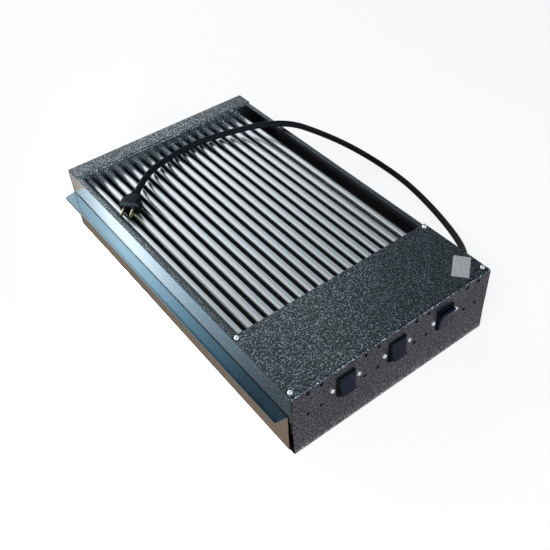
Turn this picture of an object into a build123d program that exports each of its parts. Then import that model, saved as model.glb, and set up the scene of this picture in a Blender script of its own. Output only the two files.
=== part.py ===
from build123d import *
from math import atan2, cos, degrees, radians, sin, tan
import os

# Flat electric grill with a grate of heated tubes, in millimetres.
# X runs to the right as seen from the switches, Y to the rear, Z up from the table.
# Every piece is drawn about the middle of the body and shifted once when it is written.

# Body
BODY_LENGTH = 520.0
BODY_WIDTH = 300.0
BODY_HEIGHT = 102.0
SHEET = 1.2
BEND_RADIUS = 3.0
FOOT_WIDTH = 14.0
SEAT_GAP = 0.2

# Control box at the front and terminal box at the rear
CONTROL_LENGTH = 110.0
CONTROL_FLOOR_Z = 32.0
PAN_FLANGE = 10.0
BULKHEAD_FLANGE = 12.0
SKIRT_HEIGHT = 31.0
SKIRT_FLARE = 0.8
SKIRT_BEND = 30.0
REAR_BOX_DEPTH = 30.0
REAR_LIP_HEIGHT = 40.0
REAR_FLOOR_FLANGE = 10.0

# Side walls
RIM_WIDTH = 8.0
RAIL_WEB_HEIGHT = 40.0
LEFT_WALL_SHEET = 1.0
LEFT_WALL_HEIGHT = 44.0
LEFT_WALL_SETBACK = 5.0
RIGHT_WALL_BOTTOM_Z = 20.0
RIGHT_WALL_FLANGE = 12.0

# Grate
TUBE_COUNT = 18
GRATE_MARGIN = 19.1
TUBE_DIAMETER = 10.0
TUBE_DROP = 20.0
TUBE_HOLE_GAP = 0.1
TUBE_FRONT_REACH = 14.0
TUBE_REAR_REACH = 11.0
BANK_SIZE = 6

# Terminals of the tubes
SEAL_STEP = 1.0
SEAL_LENGTH = 3.0
BLADE_WIDTH = 6.3
BLADE_SHEET = 0.8
BLADE_FRONT_LENGTH = 14.0
BLADE_REAR_LENGTH = 10.0
BUS_SHEET = 1.0
BUS_SETBACK = 7.0
BUS_OFFSET = 8.0
BUS_WIDTH = 6.0
BUS_TAB_WIDTH = 5.0

# Vent holes in the front, in square groups of four
VENT_DIAMETER = 5.0
VENT_PITCH_X = 19.0
VENT_HIGH_DROP = 6.0
VENT_LOW_DROP = 42.0
VENT_SIDE_INSET = 30.0

# Rocker switches
SWITCH_SIDE_INSET = 73.5
SWITCH_DROP = 30.0
SWITCH_WIDTH = 25.0
SWITCH_HEIGHT = 31.0
SWITCH_PROUD = 2.5
SWITCH_DEPTH = 21.0
COLLAR_CHAMFER = 0.6
WINDOW_GAP = 0.2
EAR_MARGIN = 6.0
EAR_HEIGHT = 14.0
EAR_SHEET = 2.0
COLLAR_SIDE_WALL = 1.9
COLLAR_END_WALL = 1.1
CAVITY_BELOW_PIVOT = 4.5
PIVOT_BEHIND_FACE = 4.2
ROCKER_SIDE_GAP = 0.4
ROCKER_END_GAP = 1.4
ROCKER_END_PROUD = 7.0
ROCKER_MID_PROUD = 5.0
ROCKER_END_BACK = 3.5
ROCKER_HUB_RADIUS = 3.5
ROCKER_TILT = 10.0
PIN_DIAMETER = 3.0
PIN_GAP = 0.05
PIN_END_GAP = 0.1
PIN_SKIN = 0.5
SWITCH_BLADE_LENGTH = 9.0
SWITCH_BLADE_RISE = 9.0

# Screws
SWITCH_SCREW_GAP = 6.5
SCREW_DIAMETER = 3.0
SCREW_HOLE_GAP = 0.2
SCREW_HEAD_DIAMETER = 6.0
SCREW_HEAD_HEIGHT = 2.0
SCREW_LENGTH = 8.0
COVER_SCREW_INSET_X = 4.5
COVER_SCREW_INSET_FRONT = 9.0
COVER_SCREW_INSET_REAR = 4.5

# Drip tray
TRAY_SHEET = 0.8
TRAY_BEND = 1.6
TRAY_SEAT_GAP = 0.3
TRAY_NEAR_END_GAP = 6.3
TRAY_FAR_END_GAP = 1.8
TRAY_DEPTH = 24.0
TRAY_FRONT_GAP = 1.2
TRAY_FRONT_DROP = 39.0
TRAY_REAR_GAP = 4.8
TRAY_LIP_WIDTH = 15.0
TRAY_LIP_EDGE = 4.0
TRAY_LIP_INSET = 1.0
TRAY_LIP_MITRE = 3.0

# Terminal block and straps inside the control box
BLOCK_LENGTH = 36.0
BLOCK_DEPTH = 22.0
BLOCK_HEIGHT = 17.0
BLOCK_POLES = 3
BLOCK_GROOVE = 2.0
BLOCK_STRAP_OFFSET = 10.0
STRAP_WIDTH = 6.0
STRAP_SHEET = 1.0
CORE_DIAMETER = 2.4

# Power cord, its strain relief and its plug
CORD_DIAMETER = 9.0
CORD_SETBACK = 45.0
CORD_RISE = 14.0
CORD_TAIL = 12.0
CORD_TABLE_GAP = 0.1
CORD_TUBE_GAP = 0.3
CORD_RIM_GAP = 1.8
GLAND_WALL = 3.0
GLAND_GAP = 0.1
GLAND_FLANGE_WIDTH = 2.5
GLAND_FLANGE = 3.0
GLAND_REACH = 15.0
GLAND_TIP_WALL = 1.5
GLAND_INSIDE = 9.0
GLAND_NUT_WALL = 2.5
GLAND_NUT_HEIGHT = 5.0
PLUG_TAIL_START_WALL = 1.0
PLUG_TAIL_END_WALL = 1.5
PLUG_TAIL_LENGTH = 10.0
PLUG_NECK_WIDTH = 16.0
PLUG_NECK_HEIGHT = 13.0
PLUG_WIDTH = 28.0
PLUG_HEIGHT = 18.0
PLUG_CORNER = 4.0
PLUG_TAPER_LENGTH = 11.0
PLUG_BODY_LENGTH = 12.0
PLUG_BLADE_SPACING = 12.7
PLUG_BLADE_WIDTH = 6.35
PLUG_BLADE_SHEET = 1.5
PLUG_BLADE_LENGTH = 18.0
PLUG_TUBE_GAP = 0.1

# Places worked out from the sizes above
FRONT_Y = -BODY_LENGTH / 2
REAR_Y = BODY_LENGTH / 2
HALF_WIDTH = BODY_WIDTH / 2
PANEL_BACK_Y = FRONT_Y + SHEET
REAR_WALL_IN_Y = REAR_Y - SHEET
SIDE_FRONT_Y = FRONT_Y + BEND_RADIUS
SIDE_REAR_Y = REAR_Y - BEND_RADIUS
BULKHEAD_Y = FRONT_Y + CONTROL_LENGTH
LIP_Y = REAR_Y - REAR_BOX_DEPTH
RIM_Z = BODY_HEIGHT - SHEET
FLANGE_UNDER_Z = RIM_Z - SHEET
LIP_BOTTOM_Z = BODY_HEIGHT - REAR_LIP_HEIGHT
PAN_LEFT_X = -HALF_WIDTH + LEFT_WALL_SHEET
RIGHT_IN_X = HALF_WIDTH - SHEET
CUT_REACH = 4 * SHEET
TUBE_PITCH = (BODY_WIDTH - 2 * GRATE_MARGIN) / (TUBE_COUNT - 1)
TUBE_Z = BODY_HEIGHT - TUBE_DROP
TUBE_TOP_Z = TUBE_Z + TUBE_DIAMETER / 2
TUBE_FRONT_Y = BULKHEAD_Y - TUBE_FRONT_REACH
TUBE_REAR_Y = LIP_Y + SHEET + TUBE_REAR_REACH
TUBE_HOLE_RADIUS = TUBE_DIAMETER / 2 + TUBE_HOLE_GAP
SEAL_WIDTH = TUBE_DIAMETER - 2 * SEAL_STEP
SEAL_FRONT_Y = TUBE_FRONT_Y - SEAL_LENGTH
SEAL_REAR_Y = TUBE_REAR_Y + SEAL_LENGTH
BUS_Y = SEAL_FRONT_Y - BUS_SETBACK
BANK_NAMES = ("left", "centre", "right")
SWITCH_PITCH = HALF_WIDTH - SWITCH_SIDE_INSET
SWITCH_X = (-SWITCH_PITCH, 0.0, SWITCH_PITCH)
SWITCH_Z = BODY_HEIGHT - SWITCH_DROP
SWITCH_FACE_Y = FRONT_Y - SWITCH_PROUD
SWITCH_BACK_Y = PANEL_BACK_Y + SWITCH_DEPTH
SWITCH_BLADE_END_Y = SWITCH_BACK_Y + SWITCH_BLADE_LENGTH
SWITCH_SCREW_SPACING = SWITCH_WIDTH + 2 * SWITCH_SCREW_GAP
EAR_WIDTH = SWITCH_SCREW_SPACING + 2 * EAR_MARGIN
CAVITY_WIDTH = SWITCH_WIDTH - 2 * COLLAR_SIDE_WALL
CAVITY_HEIGHT = SWITCH_HEIGHT - 2 * COLLAR_END_WALL
PIVOT_Y = SWITCH_FACE_Y + PIVOT_BEHIND_FACE
ROCKER_HALF_WIDTH = CAVITY_WIDTH / 2 - ROCKER_SIDE_GAP
ROCKER_HALF_HEIGHT = CAVITY_HEIGHT / 2 - ROCKER_END_GAP
PIN_LENGTH = ROCKER_SIDE_GAP + COLLAR_SIDE_WALL - PIN_SKIN - PIN_END_GAP
VENT_X = (VENT_SIDE_INSET - HALF_WIDTH, -SWITCH_PITCH / 2, SWITCH_PITCH / 2, HALF_WIDTH - VENT_SIDE_INSET)
VENT_Z = (BODY_HEIGHT - VENT_LOW_DROP, BODY_HEIGHT - VENT_HIGH_DROP)
SCREW_HOLE_RADIUS = SCREW_DIAMETER / 2 + SCREW_HOLE_GAP
TRAY_BOTTOM_Z = SHEET + TRAY_SEAT_GAP
TRAY_FRONT_TOP_Z = BODY_HEIGHT - TRAY_FRONT_DROP
TRAY_FRONT_X = -HALF_WIDTH - TRAY_FRONT_GAP - TRAY_SHEET
TRAY_REAR_X = RIGHT_IN_X - RIGHT_WALL_FLANGE - TRAY_REAR_GAP
TRAY_NEAR_Y = PANEL_BACK_Y + TRAY_NEAR_END_GAP
TRAY_FAR_Y = REAR_WALL_IN_Y - TRAY_FAR_END_GAP
CORD_Y = BULKHEAD_Y - CORD_SETBACK
CORD_Z = CONTROL_FLOOR_Z + CORD_RISE
CORD_TABLE_Z = CORD_DIAMETER / 2 + CORD_TABLE_GAP
CORD_RIM_Z = BODY_HEIGHT + CORD_DIAMETER / 2 + CORD_RIM_GAP
CORD_TUBE_Z = TUBE_TOP_Z + CORD_DIAMETER / 2 + CORD_TUBE_GAP
GLAND_DIAMETER = CORD_DIAMETER + 2 * GLAND_WALL
SUPPLY_BAR_Z = SWITCH_Z - SWITCH_BLADE_RISE - BLADE_SHEET / 2
BLOCK_TOP_Z = CONTROL_FLOOR_Z + BLOCK_HEIGHT
BLOCK_X = RIGHT_IN_X - GLAND_INSIDE - CORD_TAIL - BLOCK_LENGTH / 2

# The first two rockers are pressed in at the top, the last one at the bottom
ROCKER_STATE = (-ROCKER_TILT, -ROCKER_TILT, ROCKER_TILT)
ROCKER_REACH = ROCKER_END_PROUD * cos(radians(ROCKER_TILT)) + ROCKER_HALF_HEIGHT * sin(radians(ROCKER_TILT))

# The origin lies on the table below the middle of the whole part, tray lip and rockers included
ORIGIN = Pos(
    (-TRAY_FRONT_X + TRAY_LIP_WIDTH - HALF_WIDTH) / 2,
    (ROCKER_REACH + FRONT_Y - PIVOT_Y) / 2,
    0,
)

# The plug lies flat on the tubes
PLUG_Z = TUBE_TOP_Z + PLUG_TUBE_GAP + PLUG_HEIGHT / 2

# Route of the power cord from the strain relief over the table and the right rim to the plug
CORD_ROUTE = [
    (RIGHT_IN_X - GLAND_INSIDE, CORD_Y, CORD_Z),
    (HALF_WIDTH + 38.0, CORD_Y, CORD_Z),
    (HALF_WIDTH + 84.0, CORD_Y + 46.0, CORD_Z - 29.0),
    (HALF_WIDTH + 118.0, CORD_Y + 122.0, CORD_TABLE_Z),
    (HALF_WIDTH + 136.0, CORD_Y + 206.0, CORD_TABLE_Z),
    (HALF_WIDTH + 137.0, LIP_Y - 143.0, CORD_TABLE_Z + 0.4),
    (HALF_WIDTH + 104.0, LIP_Y - 110.0, CORD_RIM_Z - 74.0),
    (HALF_WIDTH + 50.0, LIP_Y - 99.0, CORD_RIM_Z - 31.0),
    (HALF_WIDTH + 7.0, LIP_Y - 96.0, CORD_RIM_Z),
    (HALF_WIDTH - 29.0, LIP_Y - 69.0, CORD_RIM_Z),
    (84.0, LIP_Y - 36.5, CORD_TUBE_Z + 2.2),
    (36.0, LIP_Y - 24.0, CORD_TUBE_Z),
    (-14.0, LIP_Y - 28.5, CORD_TUBE_Z),
    (-66.0, LIP_Y - 45.5, PLUG_Z),
    (-98.0, LIP_Y - 75.5, PLUG_Z),
]


def save(name, shape):
    export_step(ORIGIN * shape, f"parts/{name}.step")


def group(shapes):
    return Compound([shape.solid() for shape in shapes])


def box(x0, x1, y0, y1, z0, z1):
    middle = Pos((x0 + x1) / 2, (y0 + y1) / 2, (z0 + z1) / 2)
    return middle * Box(x1 - x0, y1 - y0, z1 - z0)


def folded(points, radii, thickness, side):
    line = FilletPolyline(*points, radius=radii)
    return make_face(offset(line, amount=thickness, side=side).edges())


def along_x(face, x0, x1):
    return extrude(Plane.YZ.offset(x0) * face, amount=x1 - x0)


def along_y(face, y0, y1):
    return extrude(Plane.XZ.offset(-y1) * face, amount=y1 - y0)


def peg_y(x, z, radius, y0, y1):
    return Pos(x, (y0 + y1) / 2, z) * Rot(X=90) * Cylinder(radius, y1 - y0)


def tube_x(index):
    return (index - (TUBE_COUNT - 1) / 2) * TUBE_PITCH


def bank_tubes(bank):
    return range(bank * BANK_SIZE, (bank + 1) * BANK_SIZE)


# Control cover: top, front with its switch windows and vents, and front foot in one folded sheet
def switch_screw_x():
    return [x + side * SWITCH_SCREW_SPACING / 2 for x in SWITCH_X for side in (-1, 1)]


def cover_screw_places(sides=(-1, 1)):
    x = HALF_WIDTH - COVER_SCREW_INSET_X
    front = FRONT_Y + COVER_SCREW_INSET_FRONT
    rear = BULKHEAD_Y - COVER_SCREW_INSET_REAR
    return [(side * x, y) for side in sides for y in (front, rear)]


def cover_screw_holes(side):
    return [Pos(x, y, RIM_Z) * Cylinder(SCREW_HOLE_RADIUS, CUT_REACH) for x, y in cover_screw_places((side,))]


def control_cover():
    profile = folded(
        [
            (BULKHEAD_Y, BODY_HEIGHT),
            (FRONT_Y, BODY_HEIGHT),
            (FRONT_Y, SKIRT_HEIGHT),
            (FRONT_Y - SKIRT_FLARE, 0),
            (FRONT_Y - SKIRT_FLARE + FOOT_WIDTH, 0),
        ],
        [BEND_RADIUS, SKIRT_BEND, BEND_RADIUS],
        SHEET,
        Side.LEFT,
    )
    cover = along_x(profile, -HALF_WIDTH, HALF_WIDTH)
    y0 = FRONT_Y - CUT_REACH
    y1 = FRONT_Y + CUT_REACH
    half_w = SWITCH_WIDTH / 2 + WINDOW_GAP
    half_h = SWITCH_HEIGHT / 2 + WINDOW_GAP
    cuts = [box(x - half_w, x + half_w, y0, y1, SWITCH_Z - half_h, SWITCH_Z + half_h) for x in SWITCH_X]
    for group_x in VENT_X:
        for side in (-1, 1):
            x = group_x + side * VENT_PITCH_X / 2
            cuts += [peg_y(x, z, VENT_DIAMETER / 2, y0, y1) for z in VENT_Z]
    cuts += [peg_y(x, SWITCH_Z, SCREW_HOLE_RADIUS, y0, y1) for x in switch_screw_x()]
    cuts += [Pos(x, y, BODY_HEIGHT) * Cylinder(SCREW_HOLE_RADIUS, CUT_REACH) for x, y in cover_screw_places()]
    return cover - cuts


# Rear box: inner lip with the tube holes, top, rear wall and rear foot in one folded sheet
def tube_holes(y0, y1):
    return [peg_y(tube_x(i), TUBE_Z, TUBE_HOLE_RADIUS, y0, y1) for i in range(TUBE_COUNT)]


def rear_box():
    profile = folded(
        [
            (LIP_Y, LIP_BOTTOM_Z),
            (LIP_Y, BODY_HEIGHT),
            (REAR_Y, BODY_HEIGHT),
            (REAR_Y, 0),
            (REAR_Y - FOOT_WIDTH, 0),
        ],
        BEND_RADIUS,
        SHEET,
        Side.RIGHT,
    )
    shell = along_x(profile, -HALF_WIDTH, HALF_WIDTH)
    left_end = box(-HALF_WIDTH, PAN_LEFT_X + SEAT_GAP, LIP_Y, LIP_Y + BEND_RADIUS, 0, RIM_Z)
    right_end = box(RIGHT_IN_X - SEAT_GAP, HALF_WIDTH, LIP_Y, LIP_Y + BEND_RADIUS, 0, RIM_Z)
    return shell - [left_end, right_end] - tube_holes(LIP_Y - CUT_REACH, LIP_Y + CUT_REACH)


def rear_box_floor():
    profile = folded(
        [
            (LIP_Y + SHEET, LIP_BOTTOM_Z),
            (REAR_WALL_IN_Y, LIP_BOTTOM_Z),
            (REAR_WALL_IN_Y, LIP_BOTTOM_Z + REAR_FLOOR_FLANGE),
        ],
        BEND_RADIUS,
        SHEET,
        Side.LEFT,
    )
    return along_x(profile, PAN_LEFT_X + SEAT_GAP, RIGHT_IN_X - SEAT_GAP)


# Side walls and the left rail of the grate
def right_wall():
    profile = folded(
        [
            (HALF_WIDTH - RIM_WIDTH, RIM_Z),
            (HALF_WIDTH, RIM_Z),
            (HALF_WIDTH, RIGHT_WALL_BOTTOM_Z),
            (RIGHT_IN_X - RIGHT_WALL_FLANGE, RIGHT_WALL_BOTTOM_Z),
        ],
        BEND_RADIUS,
        SHEET,
        Side.RIGHT,
    )
    wall = along_y(profile, SIDE_FRONT_Y, SIDE_REAR_Y)
    rim_end = box(0, RIGHT_IN_X, LIP_Y - SEAT_GAP, REAR_Y, RIM_Z - BEND_RADIUS, BODY_HEIGHT)
    gland_hole = Cylinder(GLAND_DIAMETER / 2 + GLAND_GAP, CUT_REACH)
    gland_hole = Pos(HALF_WIDTH, CORD_Y, CORD_Z) * Rot(Y=90) * gland_hole
    return wall - rim_end - gland_hole - cover_screw_holes(1)


def left_wall():
    top = FLANGE_UNDER_Z
    return box(-HALF_WIDTH, PAN_LEFT_X, FRONT_Y + LEFT_WALL_SETBACK, SIDE_REAR_Y, top - LEFT_WALL_HEIGHT, top)


def left_rail():
    web_x = -HALF_WIDTH + RIM_WIDTH
    profile = folded(
        [(-HALF_WIDTH, RIM_Z), (web_x, RIM_Z), (web_x, RIM_Z - RAIL_WEB_HEIGHT)],
        BEND_RADIUS,
        SHEET,
        Side.RIGHT,
    )
    return along_y(profile, BULKHEAD_Y, LIP_Y)


# Control box behind the front panel
def control_pan():
    under = CONTROL_FLOOR_Z - SHEET
    profile = folded(
        [
            (RIGHT_IN_X - SEAT_GAP, under),
            (PAN_LEFT_X, under),
            (PAN_LEFT_X, RIM_Z),
            (PAN_LEFT_X + PAN_FLANGE, RIM_Z),
        ],
        BEND_RADIUS,
        SHEET,
        Side.RIGHT,
    )
    pan = along_y(profile, SIDE_FRONT_Y, BULKHEAD_Y)
    return pan - cover_screw_holes(-1)


def bulkhead():
    profile = folded(
        [
            (BULKHEAD_Y, FLANGE_UNDER_Z),
            (BULKHEAD_Y, CONTROL_FLOOR_Z),
            (BULKHEAD_Y - BULKHEAD_FLANGE, CONTROL_FLOOR_Z),
        ],
        BEND_RADIUS,
        SHEET,
        Side.RIGHT,
    )
    left = PAN_LEFT_X + SHEET + SEAT_GAP
    right = RIGHT_IN_X - SEAT_GAP
    plate = along_x(profile, left, right)
    low = (CONTROL_FLOOR_Z, CONTROL_FLOOR_Z + BEND_RADIUS)
    high = (FLANGE_UNDER_Z - BEND_RADIUS, FLANGE_UNDER_Z)
    deep = (BULKHEAD_Y - BULKHEAD_FLANGE, BULKHEAD_Y)
    reliefs = [box(left, left + BEND_RADIUS, *deep, *z) for z in (low, high)]
    reliefs.append(box(right - BEND_RADIUS, right, *deep, *high))
    return plate - reliefs - tube_holes(BULKHEAD_Y - CUT_REACH, BULKHEAD_Y + CUT_REACH)


# Grate tubes, each a sealed tubular heater with a ceramic seal and a terminal blade at either end
def grill_tube(index):
    return peg_y(tube_x(index), TUBE_Z, TUBE_DIAMETER / 2, TUBE_FRONT_Y, TUBE_REAR_Y)


def end_seals(y0, y1):
    seal = RegularPolygon(SEAL_WIDTH / 2, 6, major_radius=False)
    return group([along_y(Pos(tube_x(i), TUBE_Z) * seal, y0, y1) for i in range(TUBE_COUNT)])


def heater_blades(y0, y1):
    half_w = BLADE_WIDTH / 2
    half_t = BLADE_SHEET / 2
    places = [tube_x(i) for i in range(TUBE_COUNT)]
    return group([box(x - half_t, x + half_t, y0, y1, TUBE_Z - half_w, TUBE_Z + half_w) for x in places])


# Comb-shaped bus bar whose tabs lie against every second blade, with its strip above or below the blades
def bus_bar(tubes, up):
    inner = up * BUS_OFFSET
    outer = up * (BUS_OFFSET + BUS_WIDTH)
    reach = -up * BLADE_WIDTH / 2
    start = tube_x(tubes[0]) + BLADE_SHEET / 2
    end = tube_x(tubes[-1]) + BLADE_SHEET / 2 + BUS_TAB_WIDTH
    strip_z = sorted((TUBE_Z + inner, TUBE_Z + outer))
    tab_z = sorted((TUBE_Z + reach, TUBE_Z + outer))
    bar = box(start, end, BUS_Y, BUS_Y + BUS_SHEET, *strip_z)
    for index in tubes:
        x = tube_x(index) + BLADE_SHEET / 2
        bar += box(x, x + BUS_TAB_WIDTH, BUS_Y, BUS_Y + BUS_SHEET, *tab_z)
    return bar.clean()


# Links that join the tubes in pairs at the rear
def rear_links():
    y = SEAL_REAR_Y + BLADE_REAR_LENGTH / 2
    half = BLADE_WIDTH / 2
    links = []
    for index in range(0, TUBE_COUNT, 2):
        x0 = tube_x(index) + BLADE_SHEET / 2
        x1 = tube_x(index + 1) - BLADE_SHEET / 2
        links.append(box(x0, x1, y, y + BUS_SHEET, TUBE_Z - half, TUBE_Z + half))
    return group(links)


# Rocker switch: a collar through the panel's window, ears behind the panel, and the rocker on its pins
def switch_housing(x):
    collar = Pos(x, SWITCH_Z) * Rectangle(SWITCH_WIDTH, SWITCH_HEIGHT)
    body = along_y(collar, SWITCH_FACE_Y, SWITCH_BACK_Y)
    body = chamfer(body.faces().sort_by(Axis.Y)[0].edges(), COLLAR_CHAMFER)
    ear_half = EAR_WIDTH / 2
    ears = box(x - ear_half, x + ear_half, PANEL_BACK_Y, PANEL_BACK_Y + EAR_SHEET,
               SWITCH_Z - EAR_HEIGHT / 2, SWITCH_Z + EAR_HEIGHT / 2)
    half_w = CAVITY_WIDTH / 2
    half_h = CAVITY_HEIGHT / 2
    cavity = box(x - half_w, x + half_w, SWITCH_FACE_Y, PIVOT_Y + CAVITY_BELOW_PIVOT,
                 SWITCH_Z - half_h, SWITCH_Z + half_h)
    socket = Cylinder(PIN_DIAMETER / 2 + PIN_GAP, 2 * (ROCKER_HALF_WIDTH + PIN_LENGTH + PIN_END_GAP))
    socket = Pos(x, PIVOT_Y, SWITCH_Z) * Rot(Y=90) * socket
    screw_holes = []
    for side in (-1, 1):
        hole_x = x + side * SWITCH_SCREW_SPACING / 2
        screw_holes.append(peg_y(hole_x, SWITCH_Z, SCREW_HOLE_RADIUS, PANEL_BACK_Y, PANEL_BACK_Y + EAR_SHEET))
    return body + ears - cavity - socket - screw_holes


def rocker(x, tilt):
    end = ROCKER_HALF_HEIGHT
    outline = make_face(
        Polyline(
            (-ROCKER_END_PROUD, -end),
            (-ROCKER_MID_PROUD, 0),
            (-ROCKER_END_PROUD, end),
            (-ROCKER_END_BACK, end),
            (ROCKER_HUB_RADIUS / 2, ROCKER_HUB_RADIUS),
            (ROCKER_HUB_RADIUS / 2, -ROCKER_HUB_RADIUS),
            (-ROCKER_END_BACK, -end),
            close=True,
        ).edges()
    )
    outline = outline + Circle(ROCKER_HUB_RADIUS)
    paddle = along_x(outline, -ROCKER_HALF_WIDTH, ROCKER_HALF_WIDTH)
    pins = Rot(Y=90) * Cylinder(PIN_DIAMETER / 2, 2 * (ROCKER_HALF_WIDTH + PIN_LENGTH))
    return Pos(x, PIVOT_Y, SWITCH_Z) * Rot(X=tilt) * (paddle + pins)


def switch_terminals():
    half_w = BLADE_WIDTH / 2
    half_t = BLADE_SHEET / 2
    blades = []
    for x in SWITCH_X:
        for side in (-1, 1):
            z = SWITCH_Z + side * SWITCH_BLADE_RISE
            blades.append(box(x - half_w, x + half_w, SWITCH_BACK_Y, SWITCH_BLADE_END_Y,
                              z - half_t, z + half_t))
    return group(blades)


# Screw with its head's underside on the ground plane and its head pointing up
def screw():
    shank = Pos(0, 0, -SCREW_LENGTH / 2) * Cylinder(SCREW_DIAMETER / 2, SCREW_LENGTH)
    return shank + Pos(0, 0, SCREW_HEAD_HEIGHT / 2) * Cylinder(SCREW_HEAD_DIAMETER / 2, SCREW_HEAD_HEIGHT)


def switch_screws():
    return group([Pos(x, FRONT_Y, SWITCH_Z) * Rot(X=90) * screw() for x in switch_screw_x()])


def cover_screws():
    return group([Pos(x, y, BODY_HEIGHT) * screw() for x, y in cover_screw_places()])


# Drip tray: pan, tall left front and pull lip in one folded sheet, with two end walls
def drip_tray():
    lip_x = TRAY_FRONT_X - TRAY_LIP_WIDTH
    profile = folded(
        [
            (TRAY_REAR_X, TRAY_BOTTOM_Z + TRAY_DEPTH),
            (TRAY_REAR_X, TRAY_BOTTOM_Z),
            (TRAY_FRONT_X, TRAY_BOTTOM_Z),
            (TRAY_FRONT_X, TRAY_FRONT_TOP_Z),
        ],
        TRAY_BEND,
        TRAY_SHEET,
        Side.RIGHT,
    )
    pan = along_y(profile, TRAY_NEAR_Y, TRAY_FAR_Y)
    lip_top = TRAY_FRONT_TOP_Z + TRAY_SHEET
    lip_profile = folded(
        [(TRAY_FRONT_X + TRAY_SHEET, lip_top), (lip_x, lip_top), (lip_x, lip_top - TRAY_LIP_EDGE)],
        TRAY_BEND,
        TRAY_SHEET,
        Side.LEFT,
    )
    near = TRAY_NEAR_Y + TRAY_LIP_INSET
    far = TRAY_FAR_Y - TRAY_LIP_INSET
    plan = make_face(
        Polyline(
            (TRAY_FRONT_X + TRAY_SHEET, near),
            (TRAY_FRONT_X, near),
            (lip_x, near + TRAY_LIP_MITRE),
            (lip_x, far - TRAY_LIP_MITRE),
            (TRAY_FRONT_X, far),
            (TRAY_FRONT_X + TRAY_SHEET, far),
            close=True,
        ).edges()
    )
    lip = along_y(lip_profile, near, far) & extrude(plan, amount=BODY_HEIGHT)
    ends = []
    for y in (TRAY_NEAR_Y, TRAY_FAR_Y - TRAY_SHEET):
        ends.append(box(TRAY_FRONT_X + TRAY_SHEET, TRAY_REAR_X - TRAY_SHEET, y, y + TRAY_SHEET,
                        TRAY_BOTTOM_Z + TRAY_SHEET, TRAY_BOTTOM_Z + TRAY_DEPTH))
    return pan + lip + ends


# Terminal block on the floor of the control box, beside the strain relief
def terminal_block():
    half = BLOCK_LENGTH / 2
    block = box(BLOCK_X - half, BLOCK_X + half, CORD_Y - BLOCK_DEPTH / 2, CORD_Y + BLOCK_DEPTH / 2,
                CONTROL_FLOOR_Z, BLOCK_TOP_Z)
    pitch = BLOCK_DEPTH / BLOCK_POLES
    for step in range(1, BLOCK_POLES):
        y = CORD_Y - BLOCK_DEPTH / 2 + step * pitch
        block -= box(BLOCK_X - half, BLOCK_X + half, y - BLOCK_GROOVE / 2, y + BLOCK_GROOVE / 2,
                     BLOCK_TOP_Z - BLOCK_GROOVE, BLOCK_TOP_Z)
    return block


# Flat copper straps between the block, the switches and the bus bars
def strap(x, points, side):
    profile = folded(points, STRAP_SHEET, STRAP_SHEET, side)
    return along_x(profile, x - STRAP_WIDTH / 2, x + STRAP_WIDTH / 2)


def supply_bar():
    end = BLOCK_X - BLOCK_STRAP_OFFSET + STRAP_WIDTH / 2
    return box(SWITCH_X[0] - STRAP_WIDTH / 2, end, SWITCH_BACK_Y + STRAP_SHEET, SWITCH_BLADE_END_Y,
               SUPPLY_BAR_Z - STRAP_SHEET, SUPPLY_BAR_Z)


def supply_strap():
    top = SUPPLY_BAR_Z - STRAP_SHEET
    foot = BLOCK_TOP_Z + STRAP_SHEET
    drop_y = (SWITCH_BLADE_END_Y + CORD_Y - BLOCK_DEPTH / 2) / 2
    points = [(SWITCH_BACK_Y + STRAP_SHEET, top), (drop_y, top), (drop_y, foot), (CORD_Y, foot)]
    return strap(BLOCK_X - BLOCK_STRAP_OFFSET, points, Side.RIGHT)


def neutral_strap():
    top = TUBE_Z - BUS_OFFSET
    points = [(CORD_Y, BLOCK_TOP_Z), (BUS_Y, BLOCK_TOP_Z), (BUS_Y, top)]
    return strap(BLOCK_X + BLOCK_STRAP_OFFSET, points, Side.LEFT)


def switch_straps():
    low = SWITCH_Z + SWITCH_BLADE_RISE + BLADE_SHEET / 2
    high = TUBE_Z + BUS_OFFSET
    slope = (BUS_Y - SWITCH_BLADE_END_Y) / 3
    points = [
        (SWITCH_BACK_Y + STRAP_SHEET, low),
        (SWITCH_BLADE_END_Y + slope, low),
        (BUS_Y - slope, high),
        (BUS_Y, high),
        (BUS_Y, high + BUS_WIDTH),
    ]
    return group([strap(x, points, Side.LEFT) for x in SWITCH_X])


def cord_cores():
    start = BLOCK_X + BLOCK_LENGTH / 2
    end = RIGHT_IN_X - GLAND_INSIDE
    cores = []
    for side in (-1, 1):
        y = CORD_Y + side * CORE_DIAMETER
        cores.append(Pos((start + end) / 2, y, CORD_Z) * Rot(Y=90) * Cylinder(CORE_DIAMETER / 2, end - start))
    return group(cores)


# Strain relief through the right wall, and the nut that holds it
def strain_relief():
    bore = CORD_DIAMETER / 2 + GLAND_GAP
    sleeve = GLAND_DIAMETER / 2
    flange = sleeve + GLAND_FLANGE_WIDTH
    tip = CORD_DIAMETER / 2 + GLAND_TIP_WALL
    outline = make_face(
        Polyline(
            (bore, -SHEET - GLAND_INSIDE),
            (sleeve, -SHEET - GLAND_INSIDE),
            (sleeve, 0),
            (flange, 0),
            (flange, GLAND_FLANGE),
            (sleeve, GLAND_FLANGE),
            (tip, GLAND_REACH),
            (bore, GLAND_REACH),
            close=True,
        ).edges()
    )
    turned = revolve(Plane.XZ * outline, axis=Axis.Z)
    return Pos(HALF_WIDTH, CORD_Y, CORD_Z) * Rot(Y=90) * turned


def strain_relief_nut():
    ring = RegularPolygon(GLAND_DIAMETER / 2 + GLAND_NUT_WALL, 6, major_radius=False)
    ring -= Circle(GLAND_DIAMETER / 2 + GLAND_GAP)
    return Pos(RIGHT_IN_X, CORD_Y, CORD_Z) * Rot(Y=-90) * extrude(ring, amount=GLAND_NUT_HEIGHT)


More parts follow.
